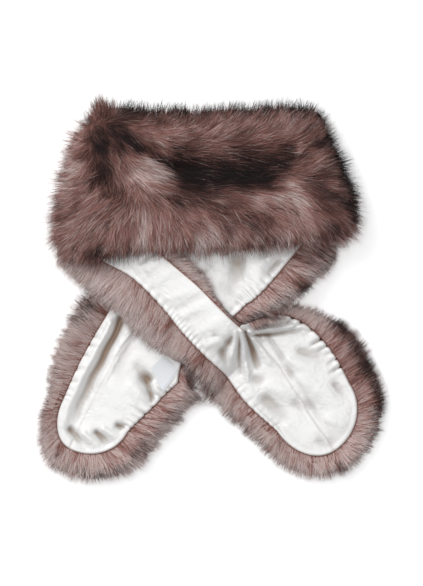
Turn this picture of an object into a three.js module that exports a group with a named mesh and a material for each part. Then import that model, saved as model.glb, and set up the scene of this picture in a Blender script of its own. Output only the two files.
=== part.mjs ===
// A faux-fur collar wrap laid out on a table, satin lining up at its ends.
//
// The real wrap is one long strip: a deep-pile fur panel with round ends, rolled over its edge on to a
// satin lining that is joined along the strip's middle. The middle of the strip, the collar, lies fur up.
// At each side the strip is folded under it, so both ends come out below the collar with the lining up.
// The left stretch has a slit in its middle seam and the right stretch is pulled through it, so the two
// cross: the right stretch goes under the outer half of the left one and over its inner half.
//
// Millimetres, +Z up, the table at z = 0, the origin at the middle of the footprint.

import * as THREE from 'three';

// Driving sizes
const PILE_UNDER_LINING = 9;      // fur pressed flat under a stretch that lies lining up
const LINING_WALL = 1.2;          // satin with its seam allowance
const SEAM_GAP = 0.3;             // clearance between sewn pieces
const LABEL_WALL = 1;
const STATION_STEP = 7.5;         // distance between the cross-sections of a stretch
const LINING_COLUMNS = 5;         // panels from the middle seam to the edge of the lining
const END_SPOKES = 14;            // spokes round a round end
const TUFT = 1.8;                 // how far the locks of fur stand in and out of the even outline

const COLLAR_CROWN = 57;          // height of the collar's fur above the table
const COLLAR_UNDERSIDE = 33.5;    // height of the collar's back where it lies on the stretches
const COLLAR_FOOT = 0;            // the folded-under layers stand on the table
const COLLAR_STEPS = 104;
const COLLAR_LEFT_END = 84;       // the step at the collar's left end, where its upper and lower edges meet
const COLLAR_HALF_SPINE = 82;     // half the length of the collar's ridge
const COLLAR_SPINE_Y = 112;
const COLLAR_RAMP = { low: 108, high: 134 };   // across it the hidden layers end and the stretches begin

// A stretch is a table with a row for each section: x, y on the middle seam; half widths of lining and fur
// on the outer and inner side; lift of the underside at each side; height of the rolled fur border above
// the lining at each side.
const STRETCH_COLUMNS = [
  'x', 'y', 'liningOut', 'furOut', 'liningIn', 'furIn', 'liftOut', 'liftIn', 'rimOut', 'rimIn',
];

// Left stretch, from under the collar to the paddle at the lower right.
const LEFT_STRETCH = {
  endLining: 50,
  endFur: 72,
  startReach: 15,
  rows: [
    [-102.4, 89.3, 50, 84, 0, 6, 0, 2, 8, 0.5],
    [-76.1, 63, 47, 82, 0, 10, 4, 12, 8, 0.5],
    [-52, 38.9, 38, 77, 0, 14, 13, 23, 8, 0.5],
    [-14.6, 7, 43, 80, 0, 9, 13, 23.5, 8, 0.5],
    [6.8, -14.5, 46, 76, 0, 6, 13, 23.5, 8, 0.5],
    [28.9, -35.7, 47, 72, 0, 4, 11, 21, 8, 0.5],
    [55.1, -57, 50, 76, 43, 56, 0, 0, 8, 0.6],
    [79.3, -89.3, 50, 73, 55, 84, 0, 0, 8, 8],
    [103.4, -126, 39, 60, 52.5, 83, 0, 0, 8, 8],
  ],
};

// Right stretch, from under the collar through the slit to the paddle at the lower left.
const RIGHT_STRETCH = {
  endLining: 43,
  endFur: 69,
  startReach: 38,
  rows: [
    [55.1, 85.1, 55.5, 97, 21, 29, 0, 9, 7, 0.5],
    [20.5, 43, 55.5, 86, 52, 62, 14, 9, 7, 0.5],
    [2.6, 24.2, 54, 68, 52, 63, 13, 9, 4, 0.5],
    [-14.2, 5.3, 50, 56, 52, 63, 10, 9, 0.5, 0.5],
    [-54.1, -23.1, 52.5, 63, 46, 60, 2, 2, 0.5, 0.5],
    [-86.6, -52.5, 69, 93, 32.5, 61, 0, 0, 3, 2],
    [-109.7, -91.4, 60, 90, 31, 58, 0, 0, 8, 8],
    [-127.6, -127, 47, 80, 29, 45, 0, 0, 8, 8],
  ],
};

// The rolled fur border from the underside round to the lining's seam. out: 0 at the seam, 1 at the tips.
const BORDER_PROFILE = [
  { out: 0.6, pile: 0, rim: 0 },
  { out: 0.92, pile: 0.3, rim: 0 },
  { out: 1.0, pile: 0.85, rim: 0.1 },
  { out: 0.84, pile: 1, rim: 0.7 },
  { out: 0.45, pile: 1, rim: 1 },
  { out: 0.14, pile: 1, rim: 0.6 },
];

// The collar's outline at the fur's tips, and how high the fur's lower edge is there.
const COLLAR_OUTLINE = [
  { x: -115, y: 199, foot: 0 },
  { x: -82, y: 193, foot: 0 },
  { x: -25, y: 192, foot: 0 },
  { x: 35, y: 193, foot: 0 },
  { x: 92, y: 196, foot: 0 },
  { x: 117, y: 187, foot: 0 },
  { x: 128, y: 163, foot: 0 },
  { x: 141, y: 138, foot: 0 },
  { x: 153, y: 111, foot: 0 },
  { x: 158, y: 86, foot: 1 },
  { x: 157, y: 66, foot: 3 },
  { x: 146, y: 50, foot: 12 },
  { x: 110, y: 44, foot: 28 },
  { x: 62, y: 40, foot: 24 },
  { x: 10, y: 36, foot: 23 },
  { x: -30, y: 35, foot: 33 },
  { x: -70, y: 35, foot: 31 },
  { x: -112, y: 28, foot: 24 },
  { x: -150, y: 29, foot: 20 },
  { x: -164, y: 42, foot: 18 },
  { x: -167, y: 60, foot: 6 },
  { x: -165, y: 84, foot: 1 },
  { x: -160, y: 111, foot: 0 },
  { x: -154, y: 137, foot: 0 },
  { x: -146, y: 163, foot: 0 },
  { x: -133, y: 187, foot: 0 },
];

// The collar's section from the edge to the ridge. share: 0 at the outline, 1 at the ridge.
const COLLAR_TOP = [
  { share: 0.0, rise: 0.3 },
  { share: 0.05, rise: 0.56 },
  { share: 0.15, rise: 0.8 },
  { share: 0.32, rise: 0.94 },
  { share: 0.52, rise: 1.0 },
  { share: 0.76, rise: 1.0 },
];
const COLLAR_FOOT_SHARE = { edge: 0.05, foot: 0.12, inside: 0.3 };

// The largest hollows and swells of the collar's fur: a trough or ridge between two points.
const COLLAR_FOLDS = [
  { x0: -45, y0: 128, x1: 70, y1: 130, width: 24, height: -10 },
  { x0: -112, y0: 172, x1: -52, y1: 128, width: 12, height: -8 },
  { x0: -108, y0: 142, x1: -84, y1: 112, width: 14, height: -5 },
  { x0: -70, y0: 105, x1: -60, y1: 128, width: 14, height: 4 },
  { x0: -80, y0: 62, x1: 90, y1: 66, width: 18, height: 3 },
  { x0: 92, y0: 150, x1: 118, y1: 92, width: 16, height: -3 },
];

// The largest creases of the lining: a soft ridge between two points.
const LEFT_CREASES = [
  { x0: 33, y0: -42, x1: 47, y1: -84, width: 5, height: 2.6 },
  { x0: 43, y0: -45, x1: 64, y1: -79, width: 5, height: 2.2 },
  { x0: 58, y0: -44, x1: 104, y1: -40, width: 5, height: 2.0 },
  { x0: -30, y0: -28, x1: -2, y1: 0, width: 6, height: 1.2 },
];
const RIGHT_CREASES = [
  { x0: -112, y0: -45, x1: -147, y1: -138, width: 9, height: 5 },
  { x0: -58, y0: -103, x1: -66, y1: -120, width: 8, height: 3 },
  { x0: -98, y0: -152, x1: -84, y1: -146, width: 6, height: 2 },
];

// Gathers where the fur's edge draws the lining in: sections from and to, counted in table rows.
const GATHER_HEIGHT = 1.5;
const LEFT_GATHERS = { side: -1, from: 6.1, to: 7.6 };
const RIGHT_GATHERS = { side: 1, from: 5.3, to: 7 };

// The sewn-in label lies on the outer half of the right stretch's lining, its root in the border seam.
const LABEL = { from: 4.62, to: 5.16, inner: 0.56, outer: 0.94, panels: 4 };

// The hidden inner half of the left stretch, pressed flat under the right one.
const UNDER_HALF = { x0: -25.7, y0: 69.3, x1: 37.3, y1: 6.3, halfWidth: 31, height: 8.4, edgeSteps: 9 };

const furMaterial = new THREE.MeshStandardMaterial({ color: 0x8c6a66, roughness: 0.95, metalness: 0 });
const satinMaterial = new THREE.MeshStandardMaterial({ color: 0xefe6da, roughness: 0.35, metalness: 0 });
const labelMaterial = new THREE.MeshStandardMaterial({ color: 0xf2f4f7, roughness: 0.7, metalness: 0 });

// A closed body made from points and faces. Equal points are merged and empty faces are left out.
class ClosedBody {
  constructor() {
    this.places = new Map();
    this.points = [];
    this.faces = [];
  }

  point(p) {
    const key = [p.x, p.y, p.z].map((value) => Math.round(value * 500)).join(',');
    if (!this.places.has(key)) {
      this.places.set(key, this.points.length / 3);
      this.points.push(p.x, p.y, p.z);
    }
    return this.places.get(key);
  }

  triangle(a, b, c) {
    const corners = [this.point(a), this.point(b), this.point(c)];
    if (new Set(corners).size === 3) this.faces.push(...corners);
  }

  quad(a, b, c, d) {
    this.triangle(a, b, c);
    this.triangle(a, c, d);
  }

  // Faces between neighbouring lines of points. closed joins the last line to the first.
  skin(lines, closed) {
    const count = closed ? lines.length : lines.length - 1;
    for (let i = 0; i < count; i += 1) {
      const here = lines[i];
      const next = lines[(i + 1) % lines.length];
      for (let k = 0; k + 1 < here.length; k += 1) {
        this.quad(here[k], next[k], next[k + 1], here[k + 1]);
      }
    }
  }

  volume() {
    const corner = (index) => new THREE.Vector3().fromArray(this.points, index * 3);
    let sum = 0;
    for (let i = 0; i < this.faces.length; i += 3) {
      const [a, b, c] = this.faces.slice(i, i + 3).map(corner);
      sum += a.dot(b.cross(c)) / 6;
    }
    return sum;
  }

  mesh(name, material) {
    if (this.volume() < 0) this.faces.reverse();
    const geometry = new THREE.BufferGeometry();
    geometry.setAttribute('position', new THREE.Float32BufferAttribute(this.points, 3));
    geometry.setIndex(this.faces);
    geometry.computeVertexNormals();
    const mesh = new THREE.Mesh(geometry, material);
    mesh.name = name;
    return mesh;
  }
}

const mix = THREE.MathUtils.lerp;
const smooth = THREE.MathUtils.smoothstep;

// A smooth curve through a table's rows: every column at position u, counted in rows.
function section(rows, u) {
  const last = rows.length - 1;
  const i = Math.min(Math.floor(u), last - 1);
  const t = u - i;
  const [p, a, b, q] = [i - 1, i, i + 1, i + 2].map((k) => rows[THREE.MathUtils.clamp(k, 0, last)]);
  const at = {};
  for (const column of Object.keys(a)) {
    const bend = 3 * (a[column] - b[column]) + q[column] - p[column];
    const pull = 2 * p[column] - 5 * a[column] + 4 * b[column] - q[column];
    at[column] = a[column] + 0.5 * t * (b[column] - p[column] + t * (pull + t * bend));
    if (column !== 'x' && column !== 'y') at[column] = Math.max(at[column], 0);
  }
  return at;
}

// The section at u with its heading along the stretch and the direction of its outer side.
function framedSection(stretch, u) {
  const last = stretch.rows.length - 1;
  const before = section(stretch.rows, Math.max(u - 0.02, 0));
  const after = section(stretch.rows, Math.min(u + 0.02, last));
  const heading = new THREE.Vector2(after.x - before.x, after.y - before.y).normalize();
  const outward = new THREE.Vector2(heading.y, -heading.x).multiplyScalar(stretch.outerSide);
  return { ...section(stretch.rows, u), u, heading, outward };
}

// Sections about STATION_STEP apart along the stretch.
function stationsOf(stretch) {
  const rows = stretch.rows;
  const stations = [];
  for (let i = 0; i + 1 < rows.length; i += 1) {
    const gap = Math.hypot(rows[i + 1].x - rows[i].x, rows[i + 1].y - rows[i].y);
    const steps = Math.max(1, Math.round(gap / STATION_STEP));
    for (let k = 0; k < steps; k += 1) stations.push(framedSection(stretch, i + k / steps));
  }
  stations.push(framedSection(stretch, rows.length - 1));
  return stations;
}

// Lift of the underside at distance r from the middle seam, outer side positive.
function liftAt(station, r) {
  const width = station.furIn + station.furOut;
  return mix(station.liftIn, station.liftOut, THREE.MathUtils.clamp((r + station.furIn) / width, 0, 1));
}

// A spoke runs from the middle seam over the lining's edge to the fur's tips. turn is 0 straight across
// the outer side, a quarter turn along the heading at a round end, and a half turn on the inner side.
function spoke(station, turn, reachLining, reachFur, index) {
  const across = Math.cos(turn);
  const ahead = Math.sin(turn);
  const lining = across >= 0 ? station.liningOut : station.liningIn;
  const fur = across >= 0 ? station.furOut : station.furIn;
  const tuft = TUFT * (Math.sin(2.4 * index) + 0.6 * Math.sin(5.3 * index + 1));
  const place = (acrossReach, aheadReach) => ({
    x: station.x + station.outward.x * across * acrossReach + station.heading.x * ahead * aheadReach,
    y: station.y + station.outward.y * across * acrossReach + station.heading.y * ahead * aheadReach,
  });
  const seam = place(lining, reachLining);
  const tip = place(fur + Math.min(tuft, fur - lining), reachFur + tuft);
  const inner = { x: station.x, y: station.y };
  return {
    station, turn, inner, seam, tip,
    innerLift: liftAt(station, 0),
    seamLift: liftAt(station, across * lining),
    tipLift: liftAt(station, across * fur),
    rim: mix(station.rimIn, station.rimOut, 0.5 + 0.5 * across),
  };
}

// All spokes of a stretch in order round it: outer side, round end, inner side, hidden start.
function spokesOf(stretch) {
  const stations = stationsOf(stretch);
  const first = stations[0];
  const end = stations[stations.length - 1];
  const spokes = [];
  const add = (station, turn, lining, fur) => spokes.push(spoke(station, turn, lining, fur, spokes.length));
  for (const station of stations) add(station, 0, 0, 0);
  for (let k = 1; k < END_SPOKES; k += 1) {
    add(end, (Math.PI * k) / END_SPOKES, stretch.endLining, stretch.endFur);
  }
  for (const station of [...stations].reverse()) add(station, Math.PI, 0, 0);
  for (let k = END_SPOKES / 2 - 1; k > 0; k -= 1) {
    add(first, -(Math.PI * 2 * k) / END_SPOKES, stretch.startReach * 0.6, stretch.startReach);
  }
  return spokes;
}

function between(a, b, share, z) {
  return new THREE.Vector3(mix(a.x, b.x, share), mix(a.y, b.y, share), z);
}

// The fur of a stretch: pressed pile with a rolled border, hollowed in the middle for the lining.
function stretchFur(stretch, name) {
  const lines = spokesOf(stretch).map((s) => {
    const line = [between(s.inner, s.inner, 0, s.innerLift)];
    for (const row of BORDER_PROFILE) {
      const lift = mix(s.seamLift, s.tipLift, row.out);
      line.push(between(s.seam, s.tip, row.out, lift + row.pile * PILE_UNDER_LINING + row.rim * s.rim));
    }
    for (let k = 0; k <= LINING_COLUMNS; k += 1) {
      const share = k / LINING_COLUMNS;
      const lift = mix(s.seamLift, s.innerLift, share);
      line.push(between(s.seam, s.inner, share, lift + PILE_UNDER_LINING));
    }
    return line;
  });
  const body = new ClosedBody();
  body.skin(lines, true);
  return body.mesh(name, furMaterial);
}

// Height of a soft ridge or trough at a point: full along its line, fading across and past its ends.
function foldHeight(folds, x, y) {
  let sum = 0;
  for (const fold of folds) {
    const run = new THREE.Vector2(fold.x1 - fold.x0, fold.y1 - fold.y0);
    const from = new THREE.Vector2(x - fold.x0, y - fold.y0);
    const along = THREE.MathUtils.clamp(from.dot(run) / run.lengthSq(), 0, 1);
    const away = from.sub(run.multiplyScalar(along)).length();
    sum += fold.height * Math.exp(-((away / fold.width) ** 2));
  }
  return sum;
}

// Gathers rise at every other section near the lining's edge.
function gatherHeight(gathers, side, s, index, share) {
  const u = s.station.u;
  const inside = side === gathers.side && u >= gathers.from && u <= gathers.to;
  return inside && index % 2 ? GATHER_HEIGHT * smooth(share, 0.35, 1) : 0;
}

// Spokes of one half of the lining, in the order they have round the stretch.
function liningSpokes(stretch, side) {
  const quarter = Math.PI / 2;
  const edge = 1e-6;
  return spokesOf(stretch).filter((s) => {
    const onSide = side > 0 ? s.turn <= quarter + edge : s.turn >= quarter - edge;
    const width = side > 0 ? s.station.liningOut : s.station.liningIn;
    return s.turn > -edge && onSide && width > 3;
  });
}

// A point of the lining's underside at a share of the way from the middle seam to its edge.
function liningPoint(stretch, side, s, index, share) {
  const inset = 1 - (SEAM_GAP * 3) / Math.max(s.station.liningIn, s.station.liningOut);
  const p = between(s.inner, s.seam, share * inset, 0);
  const lift = mix(s.innerLift, s.seamLift, share * inset);
  const crease = Math.max(foldHeight(stretch.creases, p.x, p.y), 0) * (1 - smooth(share, 0.8, 1));
  p.z = lift + PILE_UNDER_LINING + SEAM_GAP + crease + gatherHeight(stretch.gathers, side, s, index, share);
  p.x += side * s.station.outward.x * SEAM_GAP * 0.5;
  p.y += side * s.station.outward.y * SEAM_GAP * 0.5;
  return p;
}

// A wall on a grid of underside points: the same points moved up, joined round the edge.
function wallOn(grid, thickness, name, material) {
  const lines = grid.map((line) => {
    const upper = line.map((p) => p.clone().setZ(p.z + thickness));
    return [...line, ...upper.reverse(), line[0]];
  });
  const body = new ClosedBody();
  body.skin(lines, false);
  const count = grid[0].length;
  const above = (k) => 2 * count - 1 - k;
  const first = lines[0];
  const last = lines[lines.length - 1];
  for (let k = 0; k + 1 < count; k += 1) {
    body.quad(first[k], first[k + 1], first[above(k + 1)], first[above(k)]);
    body.quad(last[k + 1], last[k], last[above(k)], last[above(k + 1)]);
  }
  return body.mesh(name, material);
}

function stretchLining(stretch, side, name) {
  const shares = Array.from({ length: LINING_COLUMNS + 1 }, (_, k) => 1 - k / LINING_COLUMNS);
  const grid = liningSpokes(stretch, side).map((s, index) =>
    shares.map((share) => liningPoint(stretch, side, s, index, share)));
  return wallOn(grid, LINING_WALL, name, satinMaterial);
}

// The label is made from the lining's own points, moved up.
function careLabel(stretch, name) {
  const kept = liningSpokes(stretch, 1).map((s, index) => ({ s, index }))
    .filter(({ s }) => s.turn === 0 && s.station.u >= LABEL.from && s.station.u <= LABEL.to);
  const grid = kept.map(({ s, index }) => Array.from({ length: LABEL.panels + 1 }, (_, k) => {
    const share = mix(LABEL.outer, LABEL.inner, k / LABEL.panels);
    const p = liningPoint(stretch, 1, s, index, share);
    p.z += LINING_WALL + SEAM_GAP;
    return p;
  }));
  return wallOn(grid, LABEL_WALL, name, labelMaterial);
}

// The collar: fur up, its folded-under layers one rounded solid with it, its lower edge over the stretches.
function collarFur(name) {
  const curve = new THREE.CatmullRomCurve3(
    COLLAR_OUTLINE.map((row) => new THREE.Vector3(row.x, row.y, row.foot)), true, 'centripetal');
  const lines = [];
  for (let j = 0; j < COLLAR_STEPS; j += 1) {
    const edge = curve.getPoint(j / COLLAR_STEPS);
    const foot = Math.max(edge.z, COLLAR_FOOT);
    const opposite = curve.getPoint(((2 * COLLAR_LEFT_END - j) % COLLAR_STEPS) / COLLAR_STEPS);
    const middle = (edge.x + opposite.x) / 2;
    const ridgeX = THREE.MathUtils.clamp(middle, -COLLAR_HALF_SPINE, COLLAR_HALF_SPINE);
    const ridge = { x: ridgeX, y: COLLAR_SPINE_Y };
    const reach = Math.hypot(edge.x - ridge.x, edge.y - ridge.y);
    const tuft = (TUFT * (Math.sin(2.1 * j) + 0.6 * Math.sin(5.7 * j + 2))) / reach;
    const tip = between(edge, ridge, -tuft, 0);
    const top = (share, rise) => {
      const p = between(tip, ridge, share, 0);
      const fold = foldHeight(COLLAR_FOLDS, p.x, p.y) * smooth(share, 0.02, 0.3);
      p.z = mix(foot, COLLAR_CROWN, rise) + fold;
      return p;
    };
    const under = (share) => {
      const p = between(tip, ridge, share, 0);
      const hidden = 1 - smooth(p.y, COLLAR_RAMP.low, COLLAR_RAMP.high);
      p.z = mix(COLLAR_FOOT, COLLAR_UNDERSIDE, hidden);
      return p;
    };
    const { edge: lowEdge, foot: footShare, inside } = COLLAR_FOOT_SHARE;
    lines.push([
      under(1),
      under(inside),
      between(tip, ridge, footShare, foot),
      between(tip, ridge, lowEdge, mix(foot, COLLAR_CROWN, 0.06)),
      ...COLLAR_TOP.map((row) => top(row.share, row.rise)),
      top(1, 1),
    ]);
  }
  const body = new ClosedBody();
  body.skin(lines, true);
  return body.mesh(name, furMaterial);
}

// The hidden inner half of the left stretch: a flat rounded slab along its line.
function underHalf(name) {
  const { x0, y0, x1, y1, halfWidth, height, edgeSteps } = UNDER_HALF;
  const lines = [];
  const angle = Math.atan2(y1 - y0, x1 - x0);
  for (let k = 0; k <= 2 * edgeSteps + 1; k += 1) {
    const half = k <= edgeSteps ? 0 : 1;
    const step = half ? k - edgeSteps - 1 : k;
    const turn = angle - Math.PI / 2 + Math.PI * (half + step / edgeSteps);
    const centre = half ? { x: x0, y: y0 } : { x: x1, y: y1 };
    const at = (share, z) => new THREE.Vector3(
      centre.x + Math.cos(turn) * halfWidth * share, centre.y + Math.sin(turn) * halfWidth * share, z);
    lines.push([at(0, 0), at(0.9, 0), at(1, height * 0.4), at(0.9, height), at(0, height)]);
  }
  const body = new ClosedBody();
  body.skin(lines, true);
  return body.mesh(name, furMaterial);
}

// The table with its columns named, and which side of the heading is the outer one.
function stretchFrom(table, outerSide, creases, gathers) {
  const rows = table.rows.map((row) => Object.fromEntries(STRETCH_COLUMNS.map((name, k) => [name, row[k]])));
  return { ...table, rows, outerSide, creases, gathers };
}

const leftStretch = stretchFrom(LEFT_STRETCH, 1, LEFT_CREASES, LEFT_GATHERS);
const rightStretch = stretchFrom(RIGHT_STRETCH, -1, RIGHT_CREASES, RIGHT_GATHERS);

const wrap = new THREE.Group();
wrap.name = 'fur_collar_wrap';
wrap.add(
  collarFur('collar_fur'),
  stretchFur(leftStretch, 'left_stretch_fur'),
  stretchLining(leftStretch, 1, 'left_lining_outer_half'),
  stretchLining(leftStretch, -1, 'left_lining_inner_half'),
  underHalf('left_stretch_under_half'),
  stretchFur(rightStretch, 'right_stretch_fur'),
  stretchLining(rightStretch, 1, 'right_lining_outer_half'),
  stretchLining(rightStretch, -1, 'right_lining_inner_half'),
  careLabel(rightStretch, 'care_label'),
);

// The middle of the footprint goes to the origin.
const middle = new THREE.Box3().setFromObject(wrap).getCenter(new THREE.Vector3());
wrap.position.set(-middle.x, -middle.y, 0);

export default wrap;
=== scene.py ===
"""Fur collar wrap laid flat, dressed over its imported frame.

The frame gives where the fur and the lining are. This script lays the fur's hide just inside the solids,
grows the pile on it strand by strand, lays the satin lining in its folds, sews in the label and sets the
studio. The tables repeat the wrap's laid-out shape in millimetres, with the middle of the footprint at MIDDLE.
"""

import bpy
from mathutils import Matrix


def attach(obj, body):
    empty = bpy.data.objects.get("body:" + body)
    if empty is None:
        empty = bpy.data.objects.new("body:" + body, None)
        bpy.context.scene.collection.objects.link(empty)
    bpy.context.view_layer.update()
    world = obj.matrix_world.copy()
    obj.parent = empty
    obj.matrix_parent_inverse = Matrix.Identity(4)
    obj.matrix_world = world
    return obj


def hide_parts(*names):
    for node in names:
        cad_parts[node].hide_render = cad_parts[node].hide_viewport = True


bl_info = {
    "name": "Fur Collar Wrap",
    "version": (1, 0, 0),
    "blender": (4, 5, 0),
    "location": "3D View > Sidebar > Wrap",
    "description": "Builds a faux-fur pull-through collar wrap laid flat, with its pile, lining and label",
    "category": "Object",
}

from types import SimpleNamespace

import bpy
import numpy as np

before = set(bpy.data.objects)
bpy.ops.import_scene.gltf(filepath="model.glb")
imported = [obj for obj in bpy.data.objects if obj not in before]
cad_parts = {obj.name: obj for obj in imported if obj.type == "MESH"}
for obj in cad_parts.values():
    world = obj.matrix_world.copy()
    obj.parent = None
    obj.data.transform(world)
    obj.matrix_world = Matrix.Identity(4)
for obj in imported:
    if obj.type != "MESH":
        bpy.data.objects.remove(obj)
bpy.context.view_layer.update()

# Heights and distances are in millimetres, but the last three are in metres.
MM = 0.001
MIDDLE = np.array([2.5303, 1.7469])
PILE_UNDER_LINING = 9.0
LINING_CLEARANCE = 1.4
TABLE_CLEARANCE = 0.3
WELD_DISTANCE = 2e-5
CLOTH = 0.5 * MM
RIBBON = 0.35 * MM
PILE_MAP = "OFBake"

# The kinds of hair, and a strand's points from root to tip, its width at all but the tip, and half its map's.
PLAIN, PALE_TIP, DARK_TIP, SOOTY = KINDS = range(4)
STRAND_STEPS = np.array([0.0, 0.36, 0.70, 1.0])
STRAND_TAPER = np.array([1.0, 0.85, 0.55])
STRAND_MAP_HALF = 0.004

# Sections of a stretch: x, y on the middle seam; half widths of lining and fur, outer and inner side;
# lift of the underside at each side; height of the rolled fur border above the lining at each side.
# slit_end: the place, counted in rows, where the middle seam's slit ends. least_hair: places and the border
# hair's least length there, longer where a narrow border's hair hangs over what lies beside it.
LEFT_STRETCH = SimpleNamespace(
    end_lining=50, end_fur=72, start_reach=15, outer_side=1, slit_end=5.25,
    least_hair=[(0, 5), (1.6, 6), (2.1, 13), (2.5, 17), (3.0, 14), (3.6, 4), (4.4, 2.5), (5.2, 3), (5.27, 17),
                (5.75, 17), (5.9, 10), (6.2, 10), (6.4, 6)],
    rows=[
        (-102.4, 89.3, 50, 84, 0, 6, 0, 2, 8, 0.5),
        (-76.1, 63, 47, 82, 0, 9, 4, 12, 8, 0.5),
        (-52, 38.9, 38, 77, 0, 11.5, 13, 23, 8, 0.5),
        (-14.6, 7, 43, 80, 0, 8, 13, 23.5, 8, 0.5),
        (6.8, -14.5, 46, 76, 0, 5, 13, 23.5, 8, 0.5),
        (28.9, -35.7, 47, 72, 0, 3.2, 11, 21, 8, 0.5),
        (55.1, -57, 50, 76, 43, 56, 0, 0, 8, 0.6),
        (79.3, -89.3, 50, 73, 55, 84, 0, 0, 8, 8),
        (103.4, -126, 39, 60, 52.5, 83, 0, 0, 8, 8),
    ])
RIGHT_STRETCH = SimpleNamespace(
    end_lining=43, end_fur=69, start_reach=38, outer_side=-1, slit_end=0,
    least_hair=[(0, 6), (1.4, 6), (1.6, 19), (3.3, 19), (3.6, 6), (4.3, 6), (4.6, 15), (5.2, 15), (5.5, 6)],
    rows=[
        (55.1, 85.1, 55.5, 97, 21, 29, 0, 9, 7, 0.5),
        (20.5, 43, 55.5, 86, 52, 62, 14, 9, 7, 0.5),
        (2.6, 24.2, 54, 68, 52, 63, 13, 9, 4, 0.5),
        (-14.2, 5.3, 50, 56, 52, 63, 10, 9, 0.5, 0.5),
        (-54.1, -23.1, 52.5, 63, 46, 60, 2, 2, 0.5, 0.5),
        (-86.6, -52.5, 69, 93, 32.5, 61, 0, 0, 3, 2),
        (-109.7, -91.4, 60, 90, 31, 58, 0, 0, 8, 8),
        (-127.6, -127, 47, 80, 29, 45, 0, 0, 8, 8),
    ])

# The border's hide from the middle of the underside, round the edge, to the lining's seam:
# share of the way from seam to fur tips, share of the pressed pile's height, share of the border's height.
BORDER_HIDE = [
    (0.30, 0.02, 0.00),
    (0.52, 0.06, 0.00),
    (0.62, 0.30, 0.00),
    (0.64, 0.62, 0.08),
    (0.56, 0.86, 0.34),
    (0.38, 0.98, 0.50),
    (0.20, 1.00, 0.26),
    (0.00, 1.00, 0.00),
]

# The collar's outline at the fur's tips, and how high the fur's lower edge is there.
COLLAR_OUTLINE = [
    (-115, 199, 0), (-82, 193, 0), (-25, 192, 0), (35, 193, 0), (92, 196, 0), (117, 187, 0), (128, 163, 0),
    (141, 138, 0), (153, 111, 0), (158, 86, 1), (157, 66, 3), (146, 50, 12), (110, 44, 28), (62, 40, 24),
    (10, 36, 23), (-30, 35, 33), (-70, 35, 31), (-112, 28, 24), (-150, 29, 20), (-164, 42, 18),
    (-167, 60, 6), (-165, 84, 1), (-160, 111, 0), (-154, 137, 0), (-146, 163, 0), (-133, 187, 0),
]
# The outline's row at the collar's left end, the ridge, the crown's height, and how far the hide lies inside
# the outline, below the crown and off what the collar rests on.
COLLAR_LEFT_ROW = 21
COLLAR_RIDGE = SimpleNamespace(y=112.0, half=82.0)
COLLAR_CROWN = 57.0
COLLAR_INSET = 15.0
COLLAR_DEPTH = 12.0
COLLAR_FOOT = 1.5

# The collar's section from its turned-under edge over the rim to the ridge: share of the way in, rise.
COLLAR_SECTION = [
    (0.16, 0.00), (0.06, 0.04), (0.00, 0.22), (0.02, 0.48), (0.08, 0.70), (0.18, 0.85), (0.34, 0.95),
    (0.54, 1.00), (0.78, 1.00), (1.00, 1.00),
]

# The layers under it: shares of the way in, their height, and the y between which they come down to the table.
COLLAR_UNDER_SECTION = np.array([1.0, 0.75, 0.5, 0.3, 0.17])
COLLAR_UNDERSIDE = 33.5
COLLAR_RAMP = (108.0, 134.0)

# Hollows and swells of the collar's fur between two points: x0, y0, x1, y1, width, height.
COLLAR_FOLDS = [
    (-45, 128, 70, 130, 24, -10), (-112, 172, -52, 128, 12, -9), (-108, 142, -84, 112, 14, -5),
    (-70, 105, -60, 128, 14, 4), (-80, 62, 90, 66, 18, 3), (92, 150, 118, 92, 16, -3),
]

# Which way the collar's hair is brushed: x, y, and the direction there.
COLLAR_BRUSHING = [
    (-115, 200.6, -0.4, 0.9), (-146.5, 158.6, -0.9, 0.4), (-157, 116.6, -0.95, 0.1),
    (-162.2, 79.8, -0.9, -0.4), (-162.2, 48.3, -0.7, -0.7), (-125.5, 41, -0.5, -0.85),
    (-83.5, 43.1, -0.4, -0.9), (-130.7, 100.8, -0.8, -0.5), (-94, 100.8, -0.6, -0.6),
    (-107.6, 150.2, 0.5, -0.7), (-110.8, 183.8, -0.2, 0.95), (-110.8, 163.8, 0.4, -0.8),
    (-94, 181.7, 0.8, -0.45), (-130.7, 137.6, -0.4, -0.5), (-73, 137.6, 0.8, -0.5),
    (-52, 129.2, 0.85, -0.45), (-88.7, 177.5, 0.6, -0.4), (-62.5, 190.1, 0, 1), (-31, 186.9, 0.1, 1),
    (11, 190.1, 0.2, 1), (53, 192.2, 0.3, 1), (95, 196.3, 0.5, 0.9), (-62.5, 163.8, 0.7, -0.35),
    (-20.5, 156.5, 0.8, 0.3), (32, 158.6, 0.8, 0.4), (74, 163.8, 0.6, 0.7), (-28.9, 120.8, 1, -0.05),
    (11, 127.1, 1, 0), (53, 129.2, 1, 0.12), (71.9, 114.5, 0.9, -0.3), (97.1, 132.3, 0.8, 0.5),
    (126.5, 148.1, 0.9, 0.4), (142.3, 106.1, 0.95, -0.2), (147.5, 74.5, 0.8, -0.5),
    (105.5, 69.3, 0.7, -0.6), (89.8, 90.3, 0.6, -0.8), (-66.7, 72.5, 0.1, -1), (-20.5, 80.9, 0.7, -0.55),
    (21.5, 79.8, 0.8, -0.5), (55.1, 74.5, 0.75, -0.55), (-46.7, 45.1, -0.4, -0.9), (-10, 42, -0.3, -0.95),
    (32, 44.1, -0.2, -1), (74, 47.2, 0.1, -1), (118.1, 50.4, 0.4, -0.9),
]

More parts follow.
